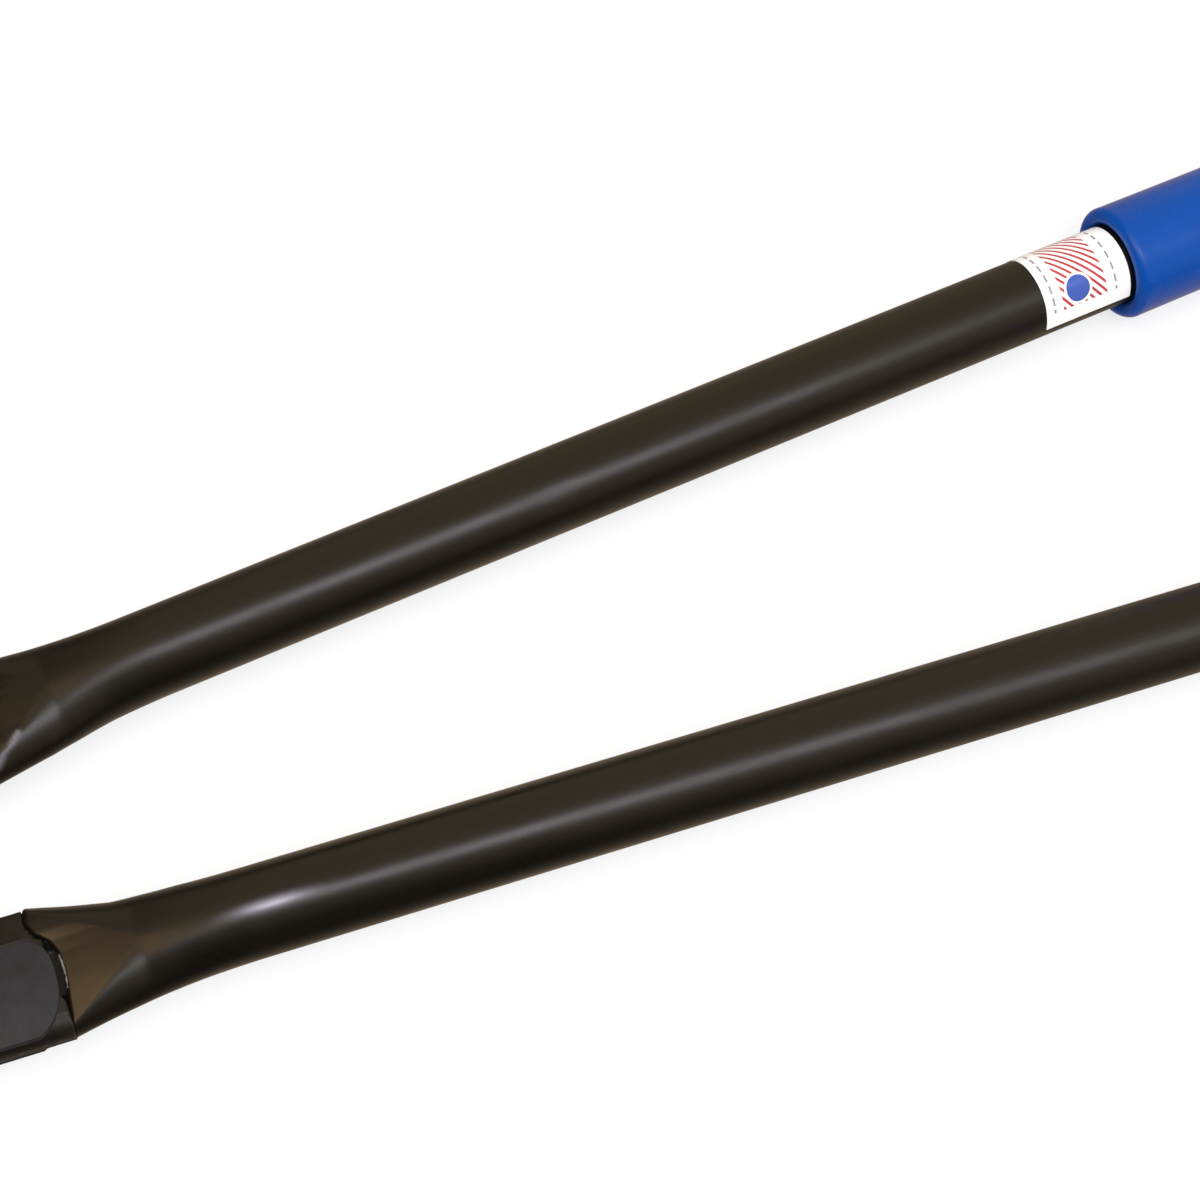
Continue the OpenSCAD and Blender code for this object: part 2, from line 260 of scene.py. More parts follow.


# ---- finishes ----

# the pale bluish grey among the enamel's colours is the colour of a painted highlight
enamel = {
    "colour": "#0b0a08", "warmColour": "#120f08", "bareColour": "#7f7c79", "highlightColour": "#90909e",
    "roughness": 0.265, "roughSpread": 0.035, "dullFrom": 300, "dullTo": 600, "dulling": 0.12,
    "grainSize": 2.2, "grainDepth": 0.006, "smudgeSize": 28, "streakLength": 60, "streakWidth": 1.2,
}


def makeTubeEnamel():
    # Stove enamel over drawn steel: a smooth satin black with a brown cast, a faint skin
    # texture, greasy smudges that vary its gloss, duller towards the grips, where hands
    # reach, a painted highlight (a brighter, metallic colour) on a patch and along a crease,
    # and pale raw steel where the mouth's lip is torn
    material, tree, shader, place, middle = newFinish("stove enamel on steel tube", -0.3)
    smudge = addNode(tree, "TexNoise",
                     {"Scale": perMetre(enamel["smudgeSize"]), "Detail": 4, "Roughness": 0.6},
                     {"Vector": middle})
    streakScale = [perMetre(enamel[way]) for way in ("streakLength", "streakWidth", "streakWidth")]
    stretch = addNode(tree, "Mapping", {"Scale": streakScale}, {"Vector": middle})
    streak = addNode(tree, "TexNoise", {"Scale": 1, "Detail": 2}, {"Vector": stretch})
    grain = addNode(tree, "TexNoise",
                    {"Scale": perMetre(enamel["grainSize"]), "Detail": 3, "Roughness": 0.55},
                    {"Vector": middle})
    paint = addNode(tree, "Mix", {"data_type": "RGBA", 6: enamel["colour"], 7: enamel["warmColour"]},
                    {0: smudge})
    lip = addNode(tree, "Attribute", {"attribute_name": "lip"})
    patch = addNode(tree, "TexNoise", {"Scale": perMetre(3), "Detail": 2}, {"Vector": middle})
    torn = addNode(tree, "Math", {"operation": "MULTIPLY"}, {0: lip.outputs["Fac"], 1: patch})
    bare = addNode(tree, "MapRange", {"From Min": 0.36, "From Max": 0.5}, {"Value": torn})
    # painted highlight: where this attribute is set, the enamel turns a brighter grey and metallic
    highlightMask = addNode(tree, "Attribute", {"attribute_name": "painted_highlight"})
    wearAndSheen = addNode(tree, "Mix", {"data_type": "RGBA", 7: enamel["highlightColour"]},
                     {0: highlightMask.outputs["Fac"], 6: paint.outputs[2]})
    colour = addNode(tree, "Mix", {"data_type": "RGBA", 7: enamel["bareColour"]},
                     {0: bare, 6: wearAndSheen.outputs[2]})
    spread = enamel["roughSpread"]
    gloss = addNode(tree, "MapRange",
                    {"From Min": 0.3, "From Max": 0.7, "To Min": enamel["roughness"] - spread,
                     "To Max": enamel["roughness"] + spread}, {"Value": smudge})
    apart = addNode(tree, "SeparateXYZ", None, {0: place})
    handled = addNode(tree, "MapRange",
                      {"From Min": enamel["dullFrom"] * mm, "From Max": enamel["dullTo"] * mm,
                       "To Max": enamel["dulling"]}, {"Value": apart.outputs["X"]})
    duller = addNode(tree, "Math", {"operation": "ADD"}, {0: gloss, 1: handled})
    fine = addNode(tree, "Math", {"operation": "MULTIPLY_ADD", 1: 0.08}, {0: streak, 2: duller})
    skin = addNode(tree, "Bump", {"Strength": 1, "Distance": enamel["grainDepth"] * mm}, {"Height": grain})
    linkInputs(tree, shader,
               {"Base Color": colour.outputs[2], "Roughness": fine, "Metallic": highlightMask.outputs["Fac"],
                "Normal": skin})
    return material


padFinish = {
    "colour": "#25242a", "darkColour": "#1d1c21", "wornColour": "#77767a",
    "roughness": 0.5, "scaleSize": 8, "pitSize": 1.4, "pitDepth": 0.03, "shine": 0.35,
}
armFinish = {
    "colour": "#110f0b", "darkColour": "#181613", "wornColour": "#5c5850",
    "roughness": 0.42, "scaleSize": 7, "pitSize": 1.3, "pitDepth": 0.05, "shine": 0.42,
}


def makeForgedSteel(name, finish):
    # Drop-forged steel under thin black paint: shallow scale and pits from the dies, mottled
    # gloss, and paint rubbed thin along the edges; the pads are matt and cool, the arms browner
    material, tree, shader, _, middle = newFinish(name, -0.05)
    scale = addNode(tree, "TexNoise",
                    {"Scale": perMetre(finish["scaleSize"]), "Detail": 5, "Roughness": 0.62},
                    {"Vector": middle})
    pits = addNode(tree, "TexNoise", {"Scale": perMetre(finish["pitSize"]), "Detail": 3, "Roughness": 0.6},
                   {"Vector": middle})
    mottle = addNode(tree, "MapRange", {"From Min": 0.35, "From Max": 0.68}, {"Value": scale})
    paint = addNode(tree, "Mix", {"data_type": "RGBA", 6: finish["colour"], 7: finish["darkColour"]},
                    {0: mottle})
    worn, colour = wornCorners(tree, pits, 0.25, 0.65, 0.7, paint, finish["wornColour"])
    height = addNode(tree, "Math", {"operation": "MULTIPLY_ADD", 1: 2.5}, {0: scale, 2: pits})
    shader.inputs["Specular IOR Level"].default_value = finish["shine"]
    coverSkin(tree, shader, colour, scale, finish, 0.1, 0.12, height, finish["pitDepth"], 0.7)
    linkInputs(tree, shader, {"Metallic": worn})
    return material


jawSteel = {
    "colour": "#3b3937", "groundColour": "#a9a7a3", "wornColour": "#7d7a76",
    "darkColour": "#2b2a29", "groundRoughness": 0.27,
    "blotchSize": 6, "bevelWidth": 13, "heelAlong": 22, "roughness": 0.42, "grindSpacing": 0.5,
    "grindDepth": 0.012,
}


def makeJawSteel():
    # Hardened alloy steel, oiled dark grey, with its cutting bevels ground bright: grinding
    # lines cross the bevels, and the corners shine where the dark oxide has rubbed off
    material, tree, shader, place, middle = newFinish("hardened jaw steel", 0.09)
    apart = addNode(tree, "SeparateXYZ", None, {0: place})
    out = addNode(tree, "Math", {"operation": "ABSOLUTE"}, {0: apart.outputs["Y"]})
    nearEdge = addNode(tree, "MapRange",
                       {"From Min": (jawSteel["bevelWidth"] + 0.2) * mm,
                        "From Max": (jawSteel["bevelWidth"] - 0.2) * mm}, {"Value": out})
    ahead = addNode(tree, "MapRange",
                    {"From Min": (jawAlong - jawSteel["heelAlong"]) * mm,
                     "From Max": (jawAlong - jawSteel["heelAlong"] - 1) * mm}, {"Value": apart.outputs["X"]})
    ground = addNode(tree, "Math", {"operation": "MULTIPLY"}, {0: nearEdge, 1: ahead})
    blotch = addNode(tree, "TexNoise", {"Scale": perMetre(jawSteel["blotchSize"]), "Detail": 5},
                     {"Vector": middle})
    stretch = addNode(tree, "Mapping", {"Scale": (1 / (jawSteel["grindSpacing"] * mm), 40, 40)},
                      {"Vector": middle})
    lines = addNode(tree, "TexNoise", {"Scale": 1, "Detail": 3}, {"Vector": stretch})
    oxide = addNode(tree, "Mix", {"data_type": "RGBA", 6: jawSteel["colour"], 7: jawSteel["darkColour"]},
                    {0: blotch})
    rubbedOxide = wornCorners(tree, blotch, 0.15, 0.5, 1, oxide, jawSteel["wornColour"])[1]
    colour = addNode(tree, "Mix", {"data_type": "RGBA", 7: jawSteel["groundColour"]},
                     {0: ground, 6: rubbedOxide.outputs[2]})
    gloss = addNode(tree, "Mix", {2: jawSteel["roughness"], 3: jawSteel["groundRoughness"]}, {0: ground})
    fine = addNode(tree, "Math", {"operation": "MULTIPLY_ADD", 1: 0.12}, {0: blotch, 2: gloss})
    height = addNode(tree, "Math", {"operation": "MULTIPLY"}, {0: lines, 1: ground})
    total = addNode(tree, "Math", {"operation": "ADD"}, {0: height, 1: blotch})
    skin = addNode(tree, "Bump", {"Strength": 1, "Distance": jawSteel["grindDepth"] * mm}, {"Height": total})
    shader.inputs["Metallic"].default_value = 0.9
    linkInputs(tree, shader, {"Base Color": colour.outputs[2], "Roughness": fine, "Normal": skin})
    return material


def makeOxideSteel(name, settings):
    # Blackened or plated steel hardware: an even, slightly mottled skin, and bare metal
    # shining through along its corners
    material, tree, shader, _, middle = newFinish(name, 0.05)
    mottle = addNode(tree, "TexNoise",
                     {"Scale": perMetre(settings["mottleSize"]), "Detail": 5, "Roughness": 0.6},
                     {"Vector": middle})
    skinColour = addNode(tree, "Mix", {"data_type": "RGBA", 6: settings["colour"], 7: settings["darkColour"]},
                         {0: mottle})
    colour = wornCorners(tree, mottle, 0.2, 0.55, 1, skinColour, settings["wornColour"])[1]
    shader.inputs["Metallic"].default_value = settings["metallic"]
    coverSkin(tree, shader, colour, mottle, settings, 0.12, 0.12, mottle, settings["mottleDepth"])
    return material


strapFinish = {"colour": "#353335", "darkColour": "#222123", "wornColour": "#85827e", "roughness": 0.42,
               "metallic": 0.55, "mottleSize": 5, "mottleDepth": 0.03}
boltFinish = {"colour": "#2a292b", "darkColour": "#1b1a1c", "wornColour": "#8f8c88", "roughness": 0.36,
              "metallic": 0.75, "mottleSize": 2.5, "mottleDepth": 0.015}
zincFinish = {"colour": "#a7a6a2", "darkColour": "#8b8986", "wornColour": "#c0beba", "roughness": 0.34,
              "metallic": 0.75, "mottleSize": 1.6, "mottleDepth": 0.01}

vinyl = {
    "colour": "#00479d", "deepColour": "#004093", "roughness": 0.28, "shine": 0.3, "grainSize": 1.1,
    "grainDepth": 0.012, "waveSize": 16, "waveDepth": 0.12,
}


def makeGripVinyl():
    # Dip-moulded vinyl: saturated blue with a soft satin shine, a fine grain and the slow
    # waves of a skin that was pulled over the tube while warm
    material, tree, shader, _, middle = newFinish("moulded vinyl grip", -0.67)
    wave = addNode(tree, "TexNoise", {"Scale": perMetre(vinyl["waveSize"]), "Detail": 1}, {"Vector": middle})
    grain = addNode(tree, "TexNoise", {"Scale": perMetre(vinyl["grainSize"]), "Detail": 3},
                    {"Vector": middle})
    colour = addNode(tree, "Mix", {"data_type": "RGBA", 6: vinyl["colour"], 7: vinyl["deepColour"]},
                     {0: wave})
    ripple = addNode(tree, "Bump", {"Strength": 1, "Distance": vinyl["waveDepth"] * mm}, {"Height": wave})
    shader.inputs["Specular IOR Level"].default_value = vinyl["shine"]
    skin = coverSkin(tree, shader, colour, grain, vinyl, 0.06, 0.1, grain, vinyl["grainDepth"])
    linkInputs(tree, skin, {"Normal": ripple})
    return material


film = {
    "white": "#f4f3f0", "red": "#b3353f", "blue": "#3a55a8", "grey": "#8c8d90",
    # as parts of the label's length and girth, but for its size and the disc's radius in mm
    "size": (38.5, 64, 0), "discPlace": (0.4, 0.2, 0), "discRadius": 5.2,
    "hatchPitch": 0.085, "hatchPart": 0.42, "hatchSlant": 1.35, "hatchWindow": (0.2, 0.72, 0.1, 0.62),
    "dashPitch": 0.075, "dashLength": 0.05, "ruleMiddle": 0.465, "ruleAway": 0.365, "ruleHalf": 0.012,
    "roughness": 0.22, "rippleDepth": 0.02,
}


def makeLabelFilm():
    # Printed vinyl film: glossy white with a band of slanted red hatching, a blue disc and
    # short grey rules; the print reads the label's own UV map, 0 to 1 along and round it
    material, tree, shader, _, middle = newFinish("printed white label film", -0.56, -0.07)
    uv = addNode(tree, "UVMap", {"uv_map": "print"})
    apart = addNode(tree, "SeparateXYZ", None, {0: uv})
    spot = addNode(tree, "Mapping", {"vector_type": "TEXTURE", "Location": film["discPlace"]}, {"Vector": uv})
    sized = addNode(tree, "VectorMath", {"operation": "MULTIPLY", 1: film["size"]}, {0: spot})
    away = addNode(tree, "VectorMath", {"operation": "LENGTH"}, {0: sized})
    parts = {"x": apart.outputs["X"], "y": apart.outputs["Y"], "away": away.outputs["Value"]}
    left, right, low, high = film["hatchWindow"]
    # each step: what it makes, how, and from which numbers and earlier parts; the hatching
    # fills a window but for a ring round the disc, and the rules are dashes near each end
    steps = (
        ("slant", "MULTIPLY_ADD", "y", film["hatchSlant"], "x"),
        ("cycle", "WRAP", "slant", film["hatchPitch"], 0),
        ("stripe", "LESS_THAN", "cycle", film["hatchPitch"] * film["hatchPart"]),
        ("pastLeft", "GREATER_THAN", "x", left), ("toRight", "LESS_THAN", "x", right),
        ("bandAlong", "MULTIPLY", "pastLeft", "toRight"),
        ("pastLow", "GREATER_THAN", "y", low), ("toHigh", "LESS_THAN", "y", high),
        ("bandRound", "MULTIPLY", "pastLow", "toHigh"),
        ("window", "MULTIPLY", "bandAlong", "bandRound"), ("hatch", "MULTIPLY", "stripe", "window"),
        ("disc", "LESS_THAN", "away", film["discRadius"]),
        ("halo", "GREATER_THAN", "away", film["discRadius"] + 1), ("clear", "MULTIPLY", "hatch", "halo"),
        ("dashes", "WRAP", "y", film["dashPitch"], 0), ("dash", "LESS_THAN", "dashes", film["dashLength"]),
        ("fromMiddle", "SUBTRACT", "x", film["ruleMiddle"]), ("eitherWay", "ABSOLUTE", "fromMiddle"),
        ("row", "COMPARE", "eitherWay", film["ruleAway"], film["ruleHalf"]),
        ("rule", "MULTIPLY", "dash", "row"), ("ruled", "MULTIPLY", "rule", "bandRound"),
    )
    for name, operation, *terms in steps:
        numbers = {k: term for k, term in enumerate(terms) if not isinstance(term, str)}
        named = {k: parts[term] for k, term in enumerate(terms) if isinstance(term, str)}
        parts[name] = addNode(tree, "Math", {"operation": operation, **numbers}, named)
    colour = addNode(tree, "Mix", {"data_type": "RGBA", 6: film["white"], 7: film["red"]},
                     {0: parts["clear"]})
    for name, ink in (("disc", "blue"), ("ruled", "grey")):
        colour = addNode(tree, "Mix", {"data_type": "RGBA", 7: film[ink]},
                         {0: parts[name], 6: colour.outputs[2]})
    ripple = addNode(tree, "TexNoise", {"Scale": perMetre(5), "Detail": 2}, {"Vector": middle})
    coverSkin(tree, shader, colour, ripple, film, 0.05, 0.1, ripple, film["rippleDepth"])
    return material


tubeEnamel = makeTubeEnamel()
forgedBlack = makeForgedSteel("matt black forged pad", padFinish)
armPaint = makeForgedSteel("brown black forged arm", armFinish)
jawMetal = makeJawSteel()
strapSteel = makeOxideSteel("black oxide strap steel", strapFinish)
boltBlack = makeOxideSteel("black oxide bolt steel", boltFinish)
washerZinc = makeOxideSteel("zinc plated spring steel", zincFinish)
gripVinyl = makeGripVinyl()
labelFilm = makeLabelFilm()
print("finishes made")


def finishPiece(piece, body, slot, material, *cadNodes):
    # gives a piece its finish and its body, and hides the CAD nodes that it stands for
    piece.data.materials.append(material)
    if cadNodes:
        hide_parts(*cadNodes)
    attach(piece, body)


# ---- handle tubes ----

tubes = {
    "diameter": 32, "wall": 2, "length": 634,
    "mouthWidth": 46, "mouthThick": 15, "flareLength": 66, "widthPower": 2.1, "thickPower": 1.5,
    "flatHalf": 20.5, "flatLength": 28, "creasePower": 1.16, "crown": 1.8,
    "sides": 144, "ringStep": 1.0, "farStep": 2.2, "lipChamfer": 0.7,
    # how far the uneven mouth stands back along the tube, across it from inside to outside
    "mouthAcross": (-23.5, -17, -12.2, -8.5, -4, 2, 8, 16, 23),
    "mouthBack": (-6.2, -7.3, -5.1, -0.8, 1.0, 1.4, 0.8, -0.2, -1.3),
    "mouthFade": 22, "tornLip": (-3.5, 9),
    # how far each tube's inner and outer edges stand out from an even flare, along it
    "edgeAlong": (-8, -5.8, 0, 8, 22, 31, 45, 66),
    "innerEdge": {1: (1.6, 1.6, 1.6, 1.7, 1.8, 1.5, 0.5, 0), -1: (0.6, 1.4, 0.9, 0, -1.2, -0.6, 0, 0)},
    "outerEdge": {1: (0,) * 8, -1: (0.8, 0.8, 0.8, 0.7, 0.6, 0.4, 0.2, 0)},
    # dents: along, angle from the outer side, depth, half length and half width
    "dents": {1: ((222, 118, 0.2, 10, 4), (150, 70, 0.08, 30, 10)),
              -1: ((46, 100, 0.15, 9, 5), (330, 95, 0.08, 30, 8))},
    # a painted highlight on the left tube, a brighter metallic patch: along, angle, half length, half width
    "painted_highlight": (73, 79, 11, 1.5),
    # a painted highlight along the right tube's crease: its ends as along and out, and half width
    "highlightCrease": ((1.5, -20.2), (12.6, -12.4), 0.8),
}


def tubeSection(along, inset):
    # width and thickness of the tube: drawn out and flattened at the mouth, each easing to
    # the full round by its own power of the way along
    away = np.clip(1 - along / tubes["flareLength"], 0, 1)
    width = tubes["diameter"] + (tubes["mouthWidth"] - tubes["diameter"]) * away ** tubes["widthPower"]
    thick = tubes["diameter"] - (tubes["diameter"] - tubes["mouthThick"]) * away ** tubes["thickPower"]
    return width - 2 * inset, thick - 2 * inset


def flatRing(along, width, thick, sides):
    # a ring with a flat above and below that narrows to nothing along the tube, joined by
    # half ellipses whose corners are pressed to a crease where there is a flat, all of it
    # crowned a little; one quarter is worked out and mirrored by the signs of the others
    near = np.clip(1 - along / tubes["flatLength"], 0, 1)[:, None]
    flat = tubes["flatHalf"] * near
    reach, rise = width[:, None] / 2 - flat, thick[:, None] / 2
    arcLength = np.pi / 2 * np.sqrt((reach ** 2 + rise ** 2) / 2)
    turn = np.arange(sides) / sides * 4
    part = np.where(turn % 2 <= 1, turn % 2, 2 - turn % 2)
    run = part * (arcLength + flat)
    angle = np.clip(run / arcLength, 0, 1) * np.pi / 2
    power = 1 + (tubes["creasePower"] - 1) * near
    out = flat + reach * np.cos(angle) ** power - np.clip(run - arcLength, 0, None)
    crown = tubes["crown"] * near * (out / tubes["flatHalf"]) ** 2
    up = (rise - crown) * np.sin(angle) ** power
    return out * np.where((turn < 1) | (turn > 3), 1, -1), up * np.where(turn <= 2, 1, -1)


def bellAt(along, angle, at, turn, halfLength, halfWidth):
    # a bell curve on the tube's skin about one place
    around = np.radians((angle - turn + 180) % 360 - 180) * tubes["diameter"] / 2
    return np.exp(-((along[:, None] - at) / halfLength) ** 2 - (around / halfWidth) ** 2)


def creaseHighlight(along, out, up):
    # a bell curve about the crease's painted highlight, strongest at its two ends
    start, end, halfWidth = tubes["highlightCrease"]
    run = np.array(end) - np.array(start)
    part = np.clip(((along - start[0]) * run[0] + (out - start[1]) * run[1]) / (run @ run), 0, 1)
    away = np.hypot(along - start[0] - part * run[0], out - start[1] - part * run[1])
    return (up > 0) * np.exp(-(away / halfWidth) ** 2) * (0.2 + 0.55 * np.abs(2 * part - 1))


def buildTube(name, side):
    # rings out along the skin and back down the bore, closed into one; dents press the skin
    # in, the mouth stands back unevenly, and its two edges stand out by their own tables
    chamfer = tubes["lipChamfer"]
    near = np.arange(chamfer + 0.8, tubes["flareLength"] + 24, tubes["ringStep"])
    far = np.arange(near[-1] + 2, tubes["length"], tubes["farStep"])
    outerAlong = np.concatenate([[0.05, chamfer * 0.5, chamfer], near, far, [tubes["length"]]])
    innerAlong = np.concatenate([[tubes["length"]], np.arange(560, 90, -60), near[::-3], [0.2]])
    along = np.concatenate([outerAlong, innerAlong, [0]])
    inset = np.concatenate([[chamfer, chamfer * 0.42, 0], np.zeros(len(outerAlong) - 3),
                            np.full(len(innerAlong) - 1, tubes["wall"]), [tubes["wall"] - 0.2],
                            [tubes["wall"] * 0.6]])
    width, thick = tubeSection(along, inset)
    out, up = flatRing(along, width, thick, tubes["sides"])
    angle = np.degrees(np.arctan2(up, out)) % 360
    press = sum(depth * bellAt(along, angle, at, turn, halfLength, halfWidth)
                for at, turn, depth, halfLength, halfWidth in tubes["dents"][side])
    shrink = 1 - press / (tubes["diameter"] / 2)
    back = np.interp(out, tubes["mouthAcross"], tubes["mouthBack"])
    fade = np.clip(1 - along / tubes["mouthFade"], 0, 1)[:, None] ** 1.5
    place = along[:, None] + back * fade
    stand = np.where(out < 0, np.interp(place, tubes["edgeAlong"], tubes["innerEdge"][side]),
                     np.interp(place, tubes["edgeAlong"], tubes["outerEdge"][side]))
    out = out * (1 + stand / (width[:, None] / 2))
    points = handlePoints(side, place, out * shrink, up * shrink)
    piece = writeMesh(name, [(points, True)], 50)
    low, high = tubes["tornLip"]
    lip = (along[:, None] < chamfer * 1.6) & (up > 0) & (out > low) & (out < high)
    setAttribute(piece.data, "lip", np.where(lip, 1.0, 0.0).ravel())
    # painted highlight: a patch on the left tube, and a line along the right tube's crease
    highlightMask = bellAt(along, angle, *tubes["painted_highlight"]) if side < 0 else creaseHighlight(place, out, up)
    setAttribute(piece.data, "painted_highlight", highlightMask.ravel())
    return piece


for side, hand in hands:
    tube = buildTube(hand + "_tube", side)
    finishPiece(tube, hand + "_handle", "tube_enamel", tubeEnamel, hand + "_handle_tube")
print("tubes made")

# ---- grips ----

grips = {"diameter": 45.5, "endRadius": 9, "endWall": 6, "sides": 128, "ringStep": 3.0,
         "swell": 0.25, "endDimple": 0.8}


def buildGrip(name, side):
    # a profile turned round the handle's axis: up the bore, round the bullnose mouth, along
    # the outside and over the rounded end to a shallow dimple
    bore, outer = tubes["diameter"] / 2 + 0.02, grips["diameter"] / 2
    lip, end, length = (outer - bore) / 2, grips["endRadius"], layout["gripLength"]
    turn = np.linspace(0, np.pi, 25)
    body = np.arange(lip + grips["ringStep"], length - end, grips["ringStep"])
    corner = np.linspace(0, np.pi / 2, 17)
    flat = np.linspace(outer - end - 1.5, 0.6, 8)
    blind = length - grips["endWall"]
    along = np.concatenate([[blind, blind, lip + 6], lip - lip * np.sin(turn), body,
                            length - end + end * np.sin(corner), np.full(len(flat), length)])
    radius = np.concatenate([[0.6, bore - 0.4, bore], outer - lip - lip * np.cos(turn),
                             np.full(len(body), outer), outer - end + end * np.cos(corner), flat])
    inner = radius < outer - 0.01
    # the wall is a little proud behind the mouth and before the end, as the mould leaves it
    waist = grips["swell"] * np.sin(np.clip((along - lip) / (length - end - lip), 0, 1) * np.pi) ** 0.5
    radius = np.where(inner, radius, radius - waist)
    dimple = np.where(along == length, grips["endDimple"] * (1 - np.clip(radius / 7, 0, 1) ** 2), 0)
    angle = ringAngles(grips["sides"])
    start = layout["handleLength"] - length
    points = handlePoints(side, (start + along - dimple)[:, None], radius[:, None] * np.cos(angle),
                          radius[:, None] * np.sin(angle))
    return writeMesh(name, [(points, False)], 60)


for side, hand in hands:
    grip = buildGrip(hand + "_vinyl_grip", side)
    finishPiece(grip, hand + "_handle", "grip_vinyl", gripVinyl, hand + "_grip")
print("grips made")

# ---- label ----

label = {"length": 38.5, "wrap": 230, "from": 171, "gap": 1, "thick": 0.22, "lift": 0.3,
         "stepsAlong": 40, "stepsRound": 160}


def buildLabel(name):
    # a thin sheet bent round the right tube: outer face, then inner face, closed at its rim;
    # its lower edge stands a little off the tube
    start = layout["handleLength"] - layout["gripLength"] - label["gap"] - label["length"]
    u, v = np.meshgrid(np.linspace(0, 1, label["stepsAlong"]), np.linspace(0, 1, label["stepsRound"]))
    angle = np.radians(label["from"] - v * label["wrap"])
    lift = label["lift"] * np.exp(-v * 40) + label["lift"] * 0.6 * np.exp(-(1 - v) * 40)
    base = tubes["diameter"] / 2 + 0.03 + lift
    sheets = []
    for rise in (label["thick"], 0):
        radius = base + rise
        sheets.append(handlePoints(1, start + u * label["length"], radius * np.cos(angle),
                                   radius * np.sin(angle)))
    count = u.size
    index = np.arange(count).reshape(u.shape)
    quads = np.stack([index[:-1, :-1], index[1:, :-1], index[1:, 1:], index[:-1, 1:]], -1).reshape(-1, 4)
    rim = np.concatenate([index[0, :], index[1:, -1], index[-1, -2::-1], index[-2:0:-1, 0]])
    following = np.roll(rim, -1)
    walls = np.stack([rim, following, following + count, rim + count], -1)
    faces = np.concatenate([quads, quads[:, ::-1] + count, walls])
    points = np.concatenate([sheet.reshape(-1, 3) for sheet in sheets])
    mesh = bpy.data.meshes.new(name)
    mesh.from_pydata(points * mm, [], faces)
    if signedVolume(points, faces) < 0:
        mesh.flip_normals()
    layer = mesh.uv_layers.new(name="print")
    corners = np.zeros(len(mesh.loops), np.int64)
    mesh.loops.foreach_get("vertex_index", corners)
    spots = np.stack([np.tile(u.ravel(), 2), np.tile(v.ravel(), 2)], -1)[corners]
    layer.data.foreach_set("uv", spots.ravel())
    return linkPiece(name, mesh, 50)


finishPiece(buildLabel("tube_label"), "right_handle", "label_film", labelFilm, "handle_label")
print("label made")

# ---- handle forgings, jaws and straps ----

forgings = {
    "voxel": 0.8, "smoothing": 3,
    # the inner edge beside the tube slopes away from the pad, and tucks under the tube's lip
    "slopeFrom": -12.2, "slopeTop": 8.4, "slopeAngle": 25, "slopeStart": -62, "slopeFull": -44,
    "tuckGap": 1.0, "tuckFrom": -8.5, "slimFrom": 18.5, "innerReach": 22.9, "edgeRadius": 6.5, "edgeTop": 8,
    "padRest": 8.5, "tongueRim": (13, 14.5, 18.5, 19.5), "tongueHalf": 7.7, "tongueRelief": 0.55,
    "noCeiling": 99,
    # the outer part of the shoulder is driven up against the tube's mouth, and the tang is
    # sunk where it crosses the open part of the mouth
    "reach": 2.4, "reachFrom": 8, "reachFull": 13, "reachAlong": (-9, -4, -1.5, 7),
    "sinkAlong": (-2.6, -2.2, 2, 5), "sinkAcross": (-10, -7, 9, 13), "sink": 0.7,
}


